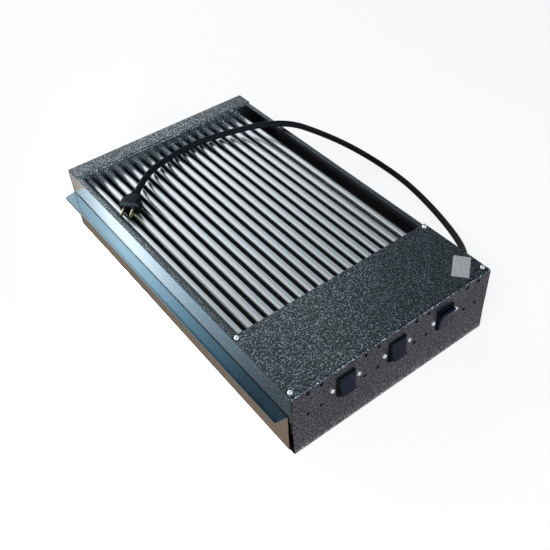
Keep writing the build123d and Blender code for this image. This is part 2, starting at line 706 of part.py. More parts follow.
# Free cord: straight runs joined by arcs as large as the runs allow
def cord_path():
    points = [Vector(*point) for point in CORD_ROUTE]
    radii = []
    for before, here, after in zip(points, points[1:], points[2:]):
        turn = (here - before).get_angle(after - here)
        run = min((here - before).length, (after - here).length)
        radii.append(0.45 * run / tan(radians(turn / 2)))
    print("cord radii", [round(radius) for radius in radii])
    return FilletPolyline(*points, radius=radii)


def power_cord():
    path = cord_path()
    start = Plane(origin=path @ 0, z_dir=path % 0)
    cord = sweep(start * Circle(CORD_DIAMETER / 2), path=path)
    section = Circle(CORD_DIAMETER / 2).area
    print("cord length", round(path.length), "volume ratio", round(cord.volume / (section * path.length), 4))
    return cord


# Plug lying on the tubes, drawn along +X and turned to its place
def plug_place():
    last_run = Vector(*CORD_ROUTE[-1]) - Vector(*CORD_ROUTE[-2])
    return Pos(*CORD_ROUTE[-1]) * Rot(Z=degrees(atan2(last_run.Y, last_run.X)))


def plug_body():
    tail_start = CORD_DIAMETER / 2 + PLUG_TAIL_START_WALL
    tail_end = CORD_DIAMETER / 2 + PLUG_TAIL_END_WALL
    tail = Pos(PLUG_TAIL_LENGTH / 2) * Rot(Y=90) * Cone(tail_start, tail_end, PLUG_TAIL_LENGTH)
    neck = chamfer(Rectangle(PLUG_NECK_WIDTH, PLUG_NECK_HEIGHT).vertices(), PLUG_CORNER)
    front = chamfer(Rectangle(PLUG_WIDTH, PLUG_HEIGHT).vertices(), PLUG_CORNER)
    neck_plane = Plane.YZ.offset(PLUG_TAIL_LENGTH)
    grip_plane = neck_plane.offset(PLUG_TAPER_LENGTH)
    taper = loft([neck_plane * neck, grip_plane * front], ruled=True)
    grip = extrude(grip_plane * front, amount=PLUG_BODY_LENGTH)
    return plug_place() * (tail + taper + grip)


def plug_blades():
    start = PLUG_TAIL_LENGTH + PLUG_TAPER_LENGTH + PLUG_BODY_LENGTH
    half_t = PLUG_BLADE_SHEET / 2
    half_w = PLUG_BLADE_WIDTH / 2
    blades = []
    for side in (-1, 1):
        y = side * PLUG_BLADE_SPACING / 2
        blade = box(start, start + PLUG_BLADE_LENGTH, y - half_t, y + half_t, -half_w, half_w)
        tip = blade.edges().filter_by(Axis.Y).sort_by(Axis.X)[-2:]
        blades.append(plug_place() * chamfer(tip, PLUG_BLADE_SHEET))
    return group(blades)


os.makedirs("parts", exist_ok=True)

save("control_cover", control_cover())
save("rear_box", rear_box())
save("rear_box_floor", rear_box_floor())
save("right_wall", right_wall())
save("left_wall", left_wall())
save("left_rail", left_rail())
save("control_pan", control_pan())
save("bulkhead", bulkhead())
for number in range(TUBE_COUNT):
    save(f"grill_tube_{number + 1:02d}", grill_tube(number))
save("end_seals_front", end_seals(SEAL_FRONT_Y, TUBE_FRONT_Y))
save("end_seals_rear", end_seals(TUBE_REAR_Y, SEAL_REAR_Y))
save("heater_blades_front", heater_blades(SEAL_FRONT_Y - BLADE_FRONT_LENGTH, SEAL_FRONT_Y))
save("heater_blades_rear", heater_blades(SEAL_REAR_Y, SEAL_REAR_Y + BLADE_REAR_LENGTH))
for bank, bank_name in enumerate(BANK_NAMES):
    save(f"line_bus_{bank_name}", bus_bar(list(bank_tubes(bank))[0::2], 1))
    save(f"switch_housing_{bank_name}", switch_housing(SWITCH_X[bank]))
    save(f"rocker_{bank_name}", rocker(SWITCH_X[bank], ROCKER_STATE[bank]))
save("neutral_bus", bus_bar(list(range(1, TUBE_COUNT, 2)), -1))
save("rear_links", rear_links())
save("switch_terminals", switch_terminals())
save("switch_screws", switch_screws())
save("cover_screws", cover_screws())
save("drip_tray", drip_tray())
save("terminal_block", terminal_block())
save("supply_bar", supply_bar())
save("supply_strap", supply_strap())
save("neutral_strap", neutral_strap())
save("switch_straps", switch_straps())
save("cord_cores", cord_cores())
save("strain_relief", strain_relief())
save("strain_relief_nut", strain_relief_nut())
save("power_cord", power_cord())
save("plug_body", plug_body())
save("plug_blades", plug_blades())
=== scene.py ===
# %% [markdown]
# # Dressing a flat electric grill
# The grill is a low steel box with a grate of eighteen heated tubes, a control box with three rocker
# switches at the front, and a drip tray that pulls out at the left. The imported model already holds
# every solid in its true place, so this lesson adds only what a solid model lacks: finishes, light,
# a camera, a cord that lies like a cord, and the small rounded pieces that catch the light.

# %% Load the frame
import math

import bpy
from mathutils import Matrix, Vector


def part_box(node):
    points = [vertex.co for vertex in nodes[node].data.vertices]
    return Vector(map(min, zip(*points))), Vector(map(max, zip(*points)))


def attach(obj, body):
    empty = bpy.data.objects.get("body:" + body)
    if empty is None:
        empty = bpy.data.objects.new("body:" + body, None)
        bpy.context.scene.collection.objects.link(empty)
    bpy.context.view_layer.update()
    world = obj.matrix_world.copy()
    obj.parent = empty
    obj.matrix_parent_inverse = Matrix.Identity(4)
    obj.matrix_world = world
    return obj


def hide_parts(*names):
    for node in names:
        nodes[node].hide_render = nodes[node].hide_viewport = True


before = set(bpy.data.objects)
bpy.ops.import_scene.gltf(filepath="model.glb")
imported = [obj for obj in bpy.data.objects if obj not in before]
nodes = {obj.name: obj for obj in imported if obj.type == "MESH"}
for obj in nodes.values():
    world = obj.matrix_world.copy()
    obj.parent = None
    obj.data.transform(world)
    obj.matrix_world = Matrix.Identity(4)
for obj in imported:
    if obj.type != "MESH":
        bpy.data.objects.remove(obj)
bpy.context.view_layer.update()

# %% [markdown]
# ## Camera
# The photograph looks down on the front left corner from about arm's length. A camera could be aimed
# at a target and nudged until the picture fits, but that leaves the lens to chance. The photograph's
# vanishing points give the lens and the camera's directions together, so those are written down here.
# The small roll of a hand-held picture is in them too.

# %% Camera
CAMERA_PLACE = Vector((-0.4115, -0.6328, 0.7406))
CAMERA_FORWARD = Vector((0.4038, 0.5870, -0.7017)).normalized()
CAMERA_UP = Vector((0.4512, 0.5395, 0.7109))
CAMERA_LENS = 49.6
CAMERA_SENSOR = 36.0

camera = bpy.data.objects.new("camera", bpy.data.cameras.new("camera"))
bpy.context.scene.collection.objects.link(camera)
camera.data.lens = CAMERA_LENS
camera.data.sensor_width = CAMERA_SENSOR
right = CAMERA_FORWARD.cross(CAMERA_UP).normalized()
up = right.cross(CAMERA_FORWARD)
turn = Matrix((right, up, -CAMERA_FORWARD)).transposed()
camera.matrix_world = Matrix.Translation(CAMERA_PLACE) @ turn.to_4x4()
bpy.context.scene.camera = camera
print("camera", [round(x, 3) for x in camera.location])

# %% [markdown]
# ## Shader sums as Python sums
# A procedural finish is mostly arithmetic on noise. Wiring Math nodes by hand hides that arithmetic,
# so one small class wraps a socket and lets ordinary Python signs add the nodes. Every other node
# comes from one method, which sets the node first and then its sockets.


# %% A socket that can be added and multiplied
class Field:
    def __init__(self, tree, socket=None):
        self.tree = tree
        self.socket = socket

    def node(self, kind, inputs, settings=None, output=0):
        made = self.tree.nodes.new(kind)
        for key, value in (settings or {}).items():
            if key == "stops":
                ramp = made.color_ramp.elements
                while len(ramp) < len(value):
                    ramp.new(1.0)
                for element, (place, colour) in zip(ramp, value):
                    element.position = place
                    element.color = (*colour, 1.0)
            else:
                setattr(made, key, value)
        for key, value in inputs.items():
            self.plug(made.inputs[key], value)
        return Field(self.tree, made.outputs[output])

    def plug(self, socket, value):
        if isinstance(value, Field):
            self.tree.links.new(value.socket, socket)
        else:
            socket.default_value = value

    def maths(self, operation, first, second):
        return self.node("ShaderNodeMath", {0: first, 1: second}, {"operation": operation})

    def __add__(self, other):
        return self.maths("ADD", self, other)

    __radd__ = __add__

    def __mul__(self, other):
        return self.maths("MULTIPLY", self, other)

    __rmul__ = __mul__

    def __rsub__(self, other):
        return self.maths("SUBTRACT", other, self)

    def larger(self, other):
        return self.maths("MAXIMUM", self, other)

    def smooth(self, low, high):
        inputs = {"Value": self, "From Min": low, "From Max": high}
        return self.node("ShaderNodeMapRange", inputs, {"interpolation_type": "SMOOTHSTEP"})

    def between(self, rise, fall):
        return self.smooth(*rise) * (1 - self.smooth(*fall))

    def pick(self, first, second):
        inputs = {"Factor": self}
        for key, colour in ((6, first), (7, second)):
            inputs[key] = colour if isinstance(colour, Field) else (*colour, 1.0)
        return self.node("ShaderNodeMix", inputs, {"data_type": "RGBA"}, 2)


# %% [markdown]
# ## Finishes
# A finish could be a picture wrapped round each piece, but it would need unwrapping and would stretch at
# every fold. Here a finish is a pattern in space that starts from a Principled shader. What is the same
# all over goes straight on its sockets; what changes over the surface is a Field. Patterns read Object
# coordinates, which here are metres in the grill's own frame, so a scale of 300 means cells of about
# three millimetres.


# %% Helpers for finishes
class Finish:
    def __init__(self, name, **sockets):
        self.material = bpy.data.materials.new(name)
        self.material.use_nodes = True
        self.tree = self.material.node_tree
        self.shader = self.tree.nodes["Principled BSDF"]
        self.start = Field(self.tree)
        self.place = self.start.node("ShaderNodeTexCoord", {}, output="Object")
        self.set(**sockets)

    def set(self, **sockets):
        for name, value in sockets.items():
            self.start.plug(self.shader.inputs[name.replace("_", " ")], value)

    def stretched(self, x, y, z):
        return self.start.node("ShaderNodeMapping", {"Vector": self.place, "Scale": (x, y, z)})

    def noise(self, scale, detail=2.0, vector=None):
        inputs = {"Vector": vector or self.place, "Scale": scale, "Detail": detail}
        return self.start.node("ShaderNodeTexNoise", inputs)

    def cells(self, scale, feature="DISTANCE_TO_EDGE"):
        inputs = {"Vector": self.place, "Scale": scale}
        return self.start.node("ShaderNodeTexVoronoi", inputs, {"feature": feature})

    def facing(self, axis):
        normal = self.start.node("ShaderNodeNewGeometry", {}, output="Normal")
        return self.start.node("ShaderNodeSeparateXYZ", {"Vector": normal}, output=axis)

    def lies(self, axis):
        return self.start.node("ShaderNodeSeparateXYZ", {"Vector": self.place}, output=axis)

    def bump(self, height, strength, distance):
        inputs = {"Height": height, "Strength": strength, "Distance": distance}
        self.set(Normal=self.start.node("ShaderNodeBump", inputs))

    def shine_with(self, shader):
        self.tree.links.new(shader.socket, self.tree.nodes["Material Output"].inputs["Surface"])


def paint(finish, *names):
    for name in names:
        mesh = nodes[name].data
        mesh.materials.clear()
        mesh.materials.append(finish.material)


# %% [markdown]
# ### Hammer finish
# The cover, the rear box and the rails are sprayed with a dark hammer paint. It dries into small dark
# puddles with a net of silver flake between them. A Voronoi edge distance draws the net, and a noise
# breaks it up so that no cell looks like its neighbour. The flake is metallic and stands a little
# proud, so the same mask drives colour, metal, roughness and bump. A thin flake already mirrors, so
# the metal is full at a low value of the mask. The right wall's inner face lies in shade, so it gets
# painted shade: where its normal points to the left, the colour is a near-black tint and the flake is
# hidden.

# %% Hammer finish
HAMMER_CELLS = 310.0
HAMMER_PUDDLE = (0.004, 0.007, 0.009)
HAMMER_FLAKE = (0.56, 0.60, 0.61)
SPECKLE_CELLS = HAMMER_CELLS * 1.7
SPECKLE_BAND = (0.49, 0.60)
NET_BAND = (0.04, 0.34)
NET_SHARE = 0.8
DRIFT_SCALE = 18.0
DRIFT_SHARE = 0.25
FULL_METAL = 0.2
INNER_BAND = (-0.7, -0.3)
# Painted shade: the near-black tint for faces that lie in shade.
PAINTED_SHADE_TINT = (0.004, 0.004, 0.005)


def hammer_finish(name, inner_painted_shade=False):
    finish = Finish(name, Coat_Weight=0.25, Coat_Roughness=0.14)
    speckle = finish.noise(SPECKLE_CELLS).smooth(*SPECKLE_BAND)
    net = 1 - finish.cells(HAMMER_CELLS).smooth(*NET_BAND)
    drift = finish.noise(DRIFT_SCALE).smooth(0.25, 0.75)
    mask = (net * NET_SHARE + (1 - NET_SHARE)) * speckle * (drift * DRIFT_SHARE + (1 - DRIFT_SHARE))
    colour = mask.pick(HAMMER_PUDDLE, HAMMER_FLAKE)
    # Painted shade: faces whose normal points to the left get the dark tint and lose the flake.
    if inner_painted_shade:
        inner = 1 - finish.facing("X").smooth(*INNER_BAND)
        colour = inner.pick(colour, PAINTED_SHADE_TINT)
        mask = mask * (1 - inner)
    finish.set(Base_Color=colour, Metallic=mask.smooth(0.0, FULL_METAL), Roughness=0.36 - mask * 0.14)
    finish.bump(mask, 0.25, 0.0004)
    return finish


hammer = hammer_finish("hammer_paint")
paint(hammer, "control_cover", "rear_box", "rear_box_floor", "left_rail", "control_pan", "bulkhead")
# The right wall's inner face gets painted shade.
hammer_with_painted_shade = hammer_finish("hammer_paint_painted_shade", inner_painted_shade=True)
paint(hammer_with_painted_shade, "right_wall")
print("hammer paint on seven sheets")

# %% [markdown]
# ### Polished tubes
# The tubes of the grate are drawn steel, bright from use, and drawing leaves fine lines along a tube. An
# anisotropic shader could imitate those lines, but it needs a tangent on every tube. It is simpler to
# stretch the coordinates along the tubes before a noise, and to let that noise vary the roughness.

# %% Polished tubes
TUBE_TINT = (0.93, 0.91, 0.89)
TUBE_LINES = (700.0, 9.0, 700.0)

tube_steel = Finish("tube_steel", Base_Color=(*TUBE_TINT, 1.0), Metallic=1.0)
drawn = tube_steel.noise(1.0, 2.0, tube_steel.stretched(*TUBE_LINES))
tube_steel.set(Roughness=drawn * 0.08 + 0.26)
tubes = [name for name in nodes if name.startswith("grill_tube")]
paint(tube_steel, *tubes)
print("tube steel on", len(tubes), "nodes")

# %% [markdown]
# ### Drip tray
# The tray is galvanised sheet with a faint spangle and rolling lines. The lip, which faces up, gets a
# painted blue reflection, and the floor and the rear end get painted shade, dark and dull. Such marks
# could be painted on the points of the mesh, but they would be lost with the next change of shape.
# Where a face looks and where it lies say the same, so the finish asks for those.

# %% Drip tray
TRAY_TINT = (0.64, 0.66, 0.67)
SPANGLE_CELLS = 90.0
SPANGLE_SHADE = 0.93
TRAY_LINES = (500.0, 6.0, 500.0)
# Painted reflection: a blue tint for the upward lip, standing in for the sky it mirrors.
PAINTED_REFLECTION_BLUE = (0.205, 0.295, 0.345)
TRAY_FLOOR_BAND = (0.030, 0.050)
TRAY_REAR_BAND = (0.15, 0.20)

tray_steel = Finish("tray_steel")
spangle = tray_steel.cells(SPANGLE_CELLS, "F1").smooth(0.1, 0.9)
rolled = tray_steel.noise(1.0, 2.0, tray_steel.stretched(*TRAY_LINES))
upward = tray_steel.facing("Z").smooth(0.4, 0.6)
forward = 1 - tray_steel.facing("Y").smooth(-0.6, -0.4)
rear_end = forward * tray_steel.lies("Y").smooth(*TRAY_REAR_BAND)
low_down = 1 - tray_steel.lies("Z").smooth(*TRAY_FLOOR_BAND)
# Painted shade: the floor and the forward-facing rear end are made dark, dull and not metal.
painted_shade_mask = rear_end.larger(upward * low_down)
shaded_tint = [SPANGLE_SHADE * tint for tint in TRAY_TINT]
reflection_and_spangle_tint = upward.pick(spangle.pick(TRAY_TINT, shaded_tint), PAINTED_REFLECTION_BLUE)
tray_steel.set(Base_Color=painted_shade_mask.pick(reflection_and_spangle_tint, PAINTED_SHADE_TINT), Metallic=1 - painted_shade_mask)
tray_steel.set(Roughness=rolled * 0.05 + spangle * 0.03 + painted_shade_mask * 0.5 + 0.07)
paint(tray_steel, "drip_tray")
print("tray steel on the drip tray")

# %% [markdown]
# ### Left wall and chrome
# The left wall is a bare sheet that mirrors like a blade, with a thin haze. A second shader could lay
# that haze over the metal. A share of two in a hundred that is not metal does it with one value, and it
# catches the lamp beside the wall. The screws are plated, and a larger share keeps such small heads
# bright where they mirror a dark part of the sky.

# %% Left wall and chrome
WALL_TINT = (0.84, 0.87, 0.89)
WALL_LINES = (500.0, 5.0, 500.0)
CHROME_TINT = (0.93, 0.94, 0.95)

wall_steel = Finish("wall_steel", Base_Color=(*WALL_TINT, 1.0), Metallic=0.98)
grain = wall_steel.noise(1.0, 2.0, wall_steel.stretched(*WALL_LINES))
wall_steel.set(Roughness=grain * 0.08 + 0.06)
paint(wall_steel, "left_wall")

chrome = Finish("screw_chrome", Base_Color=(*CHROME_TINT, 1.0), Metallic=0.7)
chrome.set(Roughness=chrome.noise(900.0).smooth(0.3, 0.8) * 0.08 + 0.18)
print("wall steel on the left wall, chrome ready for the screws")

# %% [markdown]
# ### Switches and cord
# The rockers are glossy black moulded plastic with a trace of blue, and the bezels round them are matt.
# The cord and the plug are soft and duller still. One black would do for all of them, but black pieces
# differ only in their gloss, so each has its own roughness and its own fine grain.

# %% Rockers and bezels
switch_plastic = Finish("switch_plastic", Specular_IOR_Level=0.3)
moulded = switch_plastic.noise(700.0, 3.0)
switch_plastic.set(Base_Color=moulded.pick((0.002, 0.005, 0.012), (0.004, 0.010, 0.021)))
switch_plastic.set(Roughness=moulded * 0.12 + 0.22)

bezel_plastic = Finish("bezel_plastic", Specular_IOR_Level=0.15)
matted = bezel_plastic.noise(900.0, 3.0)
bezel_plastic.set(Base_Color=matted.pick((0.001, 0.001, 0.002), (0.003, 0.003, 0.005)))
bezel_plastic.set(Roughness=matted * 0.2 + 0.35)
for side in ("left", "centre", "right"):
    paint(bezel_plastic, f"switch_housing_{side}")
print("bezel plastic on three housings")

# %% Rubber
rubber = Finish("cord_rubber", Specular_IOR_Level=0.13)
skin = rubber.noise(900.0, 3.0)
rubber.set(Base_Color=skin.pick((0.001, 0.001, 0.002), (0.004, 0.005, 0.006)))
rubber.set(Roughness=skin * 0.15 + 0.38)
rubber.bump(skin, 0.15, 0.0002)
print("rubber ready for cord and plug")

# %% [markdown]
# ### What is inside
# The pieces inside the control box hardly show, and one grey would do for the picture. A reader may open
# the model, though, so each kind has its own finish: dull plastic, chalky ceramic, and brass and copper
# with a cloudy tarnish. Brass and copper differ only in tint, so one function makes both.

# %% Inner plastic and ceramic
dull_plastic = Finish("inner_plastic")
grit = dull_plastic.noise(1200.0, 2.0)
dull_plastic.set(Base_Color=grit.pick((0.02, 0.02, 0.02), (0.045, 0.045, 0.045)))
dull_plastic.set(Roughness=grit * 0.2 + 0.4)
dull_plastic.bump(grit, 0.2, 0.0002)

ceramic = Finish("ceramic")
pores = ceramic.noise(1500.0, 2.0).smooth(0.35, 0.6)
ceramic.set(Base_Color=pores.pick((0.70, 0.67, 0.60), (0.85, 0.83, 0.78)))
ceramic.set(Roughness=0.75 - pores * 0.1)
paint(ceramic, "end_seals_front", "end_seals_rear")
paint(dull_plastic, "terminal_block", "strain_relief_nut")
print("ceramic on the seals, dull plastic on block and nut")

# %% Brass and copper
BRASS_TINTS = ((0.80, 0.66, 0.38), (0.90, 0.78, 0.50))
COPPER_TINTS = ((0.62, 0.34, 0.22), (0.76, 0.46, 0.32))


def yellow_metal(name, tints):
    finish = Finish(name, Metallic=1.0)
    tarnish = finish.noise(120.0, 4.0).smooth(0.3, 0.7)
    finish.set(Base_Color=tarnish.pick(*tints), Roughness=0.34 - tarnish * 0.14)
    return finish


brass = yellow_metal("brass", BRASS_TINTS)
copper = yellow_metal("copper", COPPER_TINTS)
paint(brass, "heater_blades_front", "heater_blades_rear", "rear_links")
paint(brass, "switch_terminals", "plug_blades")
paint(copper, "line_bus_left", "line_bus_centre", "line_bus_right", "neutral_bus", "supply_bar")
paint(copper, "supply_strap", "neutral_strap", "switch_straps", "cord_cores")
print("finishes", len(bpy.data.materials))

# %% [markdown]
# ## Modelling helpers
# The small pieces are modelled the way a hand would: add a simple body, select some of its faces or
# edges, and pull, inset or bevel them. In code the selection is a test on a face's middle and normal,
# or on an edge's two ends, so it still works when a size changes. A bevel can leave points on top of
# each other where it runs out of room, so rounding ends by merging them, and every mesh stays closed.

# %% Helpers for modelling
MERGE = 0.00001
SHARP_ANGLE = math.radians(30)
SMOOTH_ANGLE = math.radians(35)


def start_piece(name, add, scale=(1, 1, 1), **settings):
    if bpy.context.mode != "OBJECT":
        bpy.ops.object.mode_set(mode="OBJECT")
    bpy.ops.object.select_all(action="DESELECT")
    add(**settings)
    piece = bpy.context.object
    piece.name = name
    piece.scale = scale
    bpy.ops.object.transform_apply(location=True, rotation=True, scale=True)
    return piece


def twin_of(mesh, name):
    bpy.ops.object.select_all(action="DESELECT")
    piece = bpy.data.objects.new(name, mesh.copy())
    bpy.context.scene.collection.objects.link(piece)
    bpy.context.view_layer.objects.active = piece
    piece.select_set(True)
    return piece


def pick(piece, kind, test):
    bpy.ops.object.mode_set(mode="EDIT")
    bpy.ops.mesh.select_mode(type=kind)
    bpy.ops.mesh.select_all(action="DESELECT")
    bpy.ops.object.mode_set(mode="OBJECT")
    mesh = piece.data
    if kind == "FACE":
        for face in mesh.polygons:
            face.select = test(face.center, face.normal)
    else:
        for edge in mesh.edges:
            edge.select = test(*[mesh.vertices[end].co for end in edge.vertices])
    bpy.ops.object.mode_set(mode="EDIT")


def pull(*offset):
    bpy.ops.mesh.extrude_region_move(TRANSFORM_OT_translate={"value": offset})


def step_to(scale, centre=(0, 0, 0)):
    pull(0, 0, 0)
    bpy.ops.transform.resize(value=scale, center_override=centre)


def apply(piece, kind, **settings):
    bpy.ops.object.mode_set(mode="OBJECT")
    modifier = piece.modifiers.new(kind, kind)
    for key, value in settings.items():
        setattr(modifier, key, value)
    bpy.ops.object.modifier_apply(modifier=modifier.name)


def round_edges(piece, width, segments):
    apply(piece, "BEVEL", width=width, segments=segments, limit_method="ANGLE", angle_limit=SHARP_ANGLE)
    pick(piece, "FACE", lambda middle, normal: True)
    bpy.ops.mesh.remove_doubles(threshold=MERGE)
    bpy.ops.mesh.dissolve_degenerate(threshold=MERGE)
    bpy.ops.object.mode_set(mode="OBJECT")


def cut(piece, cutter):
    bpy.ops.object.mode_set(mode="OBJECT")
    bpy.ops.object.select_all(action="DESELECT")
    piece.select_set(True)
    bpy.context.view_layer.objects.active = piece
    apply(piece, "BOOLEAN", object=cutter, operation="DIFFERENCE", solver="EXACT", use_self=True)
    bpy.data.objects.remove(cutter)


def hand_over(piece, finish, body, slot, *replaced):
    bpy.ops.object.mode_set(mode="OBJECT")
    piece.data.materials.clear()
    piece.data.materials.append(finish.material)
    bpy.ops.object.shade_smooth_by_angle(angle=SMOOTH_ANGLE)
    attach(piece, body)
    if replaced:
        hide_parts(*replaced)
    print(piece.name, "faces", len(piece.data.polygons))


# %% [markdown]
# ## Screws
# Six screws hold the switches and four hold the cover. Each is a bright domed head with a cross
# recess. A screw could be spun from a profile, but a short cylinder is already most of it: its rim is
# bevelled into a dome, the shank is pulled out of its underside, and a cross of two bars is cut into
# the top. One screw is modelled, standing on the origin.

# %% One screw
HEAD_RADIUS = 0.003
HEAD_HEIGHT = 0.002
SHANK_RADIUS = 0.0015
SHANK_LENGTH = 0.008
CROSS_BAR = (0.0034, 0.0007, 0.0018)

screw = start_piece("screw", bpy.ops.mesh.primitive_cylinder_add, vertices=32, radius=HEAD_RADIUS,
                    depth=HEAD_HEIGHT, location=(0, 0, HEAD_HEIGHT / 2))
pick(screw, "EDGE", lambda a, b: min(a.z, b.z) > 0.9 * HEAD_HEIGHT)
bpy.ops.mesh.bevel(offset=0.8 * HEAD_HEIGHT, segments=6, profile=0.5)
pick(screw, "FACE", lambda middle, normal: normal.z < -0.9)
bpy.ops.mesh.inset(thickness=HEAD_RADIUS - SHANK_RADIUS)
pull(0, 0, -SHANK_LENGTH)
bpy.ops.object.mode_set(mode="OBJECT")
cross = start_piece("cross", bpy.ops.mesh.primitive_cube_add, scale=CROSS_BAR, size=1.0,
                    location=(0, 0, HEAD_HEIGHT))
pick(cross, "FACE", lambda middle, normal: True)
bpy.ops.mesh.duplicate()
bpy.ops.transform.rotate(value=math.pi / 2, orient_axis="Z", center_override=(0, 0, HEAD_HEIGHT))
cut(screw, cross)
print("screw faces", len(screw.data.polygons))

# %% [markdown]
# ### Places of the screws
# Two screws stand beside each switch, and one at each corner of the cover's top. Copies could share one
# mesh, but every piece here keeps its own mesh in its true place, because the meshes are handed on as
# they are. Each screw is turned further than the one before, since nobody lines up cross recesses.

# %% Ten screws
PANEL_Y = -0.25627
TOP_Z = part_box("control_cover")[1][2]
MIDDLE_X = 0.0085
SWITCH_Z = 0.072
SWITCH_PITCH = 0.0765
SCREW_REACH = 0.019
SCREW_TWIST = 0.7
screw_low, screw_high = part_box("cover_screws")

screw_places = []
for pitch in (-SWITCH_PITCH, 0.0, SWITCH_PITCH):
    for reach in (-SCREW_REACH, SCREW_REACH):
        place = Matrix.Translation((MIDDLE_X + pitch + reach, PANEL_Y, SWITCH_Z))
        screw_places.append(("switch_screws", place @ Matrix.Rotation(math.pi / 2, 4, "X")))
for x in (screw_low[0] + HEAD_RADIUS, screw_high[0] - HEAD_RADIUS):
    for y in (screw_low[1] + HEAD_RADIUS, screw_high[1] - HEAD_RADIUS):
        screw_places.append(("cover_screws", Matrix.Translation((x, y, TOP_Z))))

for number, (node, place) in enumerate(screw_places):
    twin = twin_of(screw.data, f"{node[:-1]}_{number + 1}")
    twin.data.transform(place @ Matrix.Rotation(SCREW_TWIST * number, 4, "Z"))
    hand_over(twin, chrome, "housing", "screw_chrome", node)
bpy.data.objects.remove(screw)

# %% [markdown]
# ## Rockers
# A moulded rocker has no sharp edge. The solid's shape is already right, so a copy of its mesh is
# merged, its flat triangles are dissolved into whole faces, and every edge is rounded by half a
# millimetre. Each copy rides on its own rocker body, so it tips with the switch.

# %% Rockers
FLAT_ANGLE = math.radians(3)
ROCKER_ROUNDING = 0.0005

for side in ("left", "centre", "right"):
    rocker = twin_of(nodes[f"rocker_{side}"].data, f"rocker_paddle_{side}")
    pick(rocker, "FACE", lambda middle, normal: True)
    bpy.ops.mesh.remove_doubles(threshold=MERGE)
    bpy.ops.mesh.dissolve_limited(angle_limit=FLAT_ANGLE)
    round_edges(rocker, ROCKER_ROUNDING, 3)
    hand_over(rocker, switch_plastic, f"rocker_{side}", "switch_plastic", f"rocker_{side}")

# %% [markdown]
# ## Plug and strain relief
# Both are soft moulded pieces with a ribbed tail that lets the cord bend. The ribs could be separate
# rings pushed over a cone, but then the piece would not be one closed skin. So the tail is pulled out of
# the body in steps: out for a rib, in for the groove after it, and so on.


# %% Ribbed tail
def pull_ribs(count, along, rib, groove, dip, taper):
    reach = Vector(along)
    for number in range(count):
        pull(*(reach * rib))
        step_to((dip, dip, dip), centre=tail_end(bpy.context.object))
        pull(*(reach * groove))
        if number < count - 1:
            grow = taper / dip
            step_to((grow, grow, grow), centre=tail_end(bpy.context.object))


def tail_end(piece):
    bpy.ops.object.mode_set(mode="OBJECT")
    chosen = [vertex.co for vertex in piece.data.vertices if vertex.select]
    bpy.ops.object.mode_set(mode="EDIT")
    return sum(chosen, Vector()) / len(chosen)


# %% [markdown]
# ### Plug
# The plug has a flat grip, a shoulder that narrows to the neck, and the ribbed tail. It starts as a block
# with rounded corners, because the grip is one. It is modelled along +X from its tail, where every pull
# is along an axis, and only then turned to its place on the tubes. The sides are sunk a little for the
# fingers.

# %% Plug
PLUG_START = Vector((-0.0895, 0.1582, 0.0961))
PLUG_RUN = Vector((-0.0320, -0.0300, 0.0))
PLUG_WIDTH = 0.028
PLUG_HEIGHT = 0.018
GRIP_START = 0.021
GRIP_END = 0.033
NECK_START = 0.010
NECK_WIDTH = 0.016
NECK_HEIGHT = 0.013
PLUG_CORNER = 0.0055
PLUG_ROUNDING = 0.0005
TAIL_SHRINK = (1, 0.75, 0.92)
FINGER_RIM = 0.0015
FINGER_SINK = (1, 0.95, 1)

grip_size = (GRIP_END - GRIP_START, PLUG_WIDTH, PLUG_HEIGHT)
neck_shrink = (1, NECK_WIDTH / PLUG_WIDTH, NECK_HEIGHT / PLUG_HEIGHT)
plug = start_piece("plug", bpy.ops.mesh.primitive_cube_add, scale=grip_size, size=1.0,
                   location=((GRIP_START + GRIP_END) / 2, 0, 0))
pick(plug, "EDGE", lambda a, b: abs(a.x - b.x) > 0.001)
bpy.ops.mesh.bevel(offset=PLUG_CORNER, segments=4, profile=0.5)
pick(plug, "FACE", lambda middle, normal: normal.x < -0.9)
pull(NECK_START - GRIP_START, 0, 0)
bpy.ops.transform.resize(value=neck_shrink, center_override=(NECK_START, 0, 0))
step_to(TAIL_SHRINK, centre=(NECK_START, 0, 0))
pull_ribs(4, (-1, 0, 0), rib=0.0016, groove=0.0009, dip=0.86, taper=0.985)
pick(plug, "FACE", lambda middle, normal: abs(normal.y) > 0.999 and middle.x > GRIP_START)
bpy.ops.mesh.inset(thickness=FINGER_RIM)
bpy.ops.transform.resize(value=FINGER_SINK, center_override=(0, 0, 0))
round_edges(plug, PLUG_ROUNDING, 2)
plug_turn = Matrix.Rotation(math.atan2(PLUG_RUN.y, PLUG_RUN.x), 4, "Z")
plug.data.transform(Matrix.Translation(PLUG_START) @ plug_turn)
hand_over(plug, rubber, "housing", "cord_rubber", "plug_body")

# %% [markdown]
# ### Strain relief
# Where the cord leaves the right wall, a disc with a ribbed sleeve holds it. The disc and the sleeve are
# round, so they start as a cylinder. Its stem reaches through the wall to the nut inside. The hole for
# the cord could be left out, as the cord fills it, but a cut hole keeps the two pieces apart.

# %% Strain relief
RELIEF_PLACE = (0.1585, -0.19127, 0.046)
RELIEF_BORE = 0.0046
RELIEF_BORE_LENGTH = 0.06
RELIEF_RADIUS = 0.010
RELIEF_THICKNESS = 0.003
RELIEF_STEM = 0.0102
RELIEF_ROUNDING = 0.0003
STEM_SHRINK = (0.75, 0.75, 1)
SLEEVE_SHRINK = (0.74, 0.74, 1)

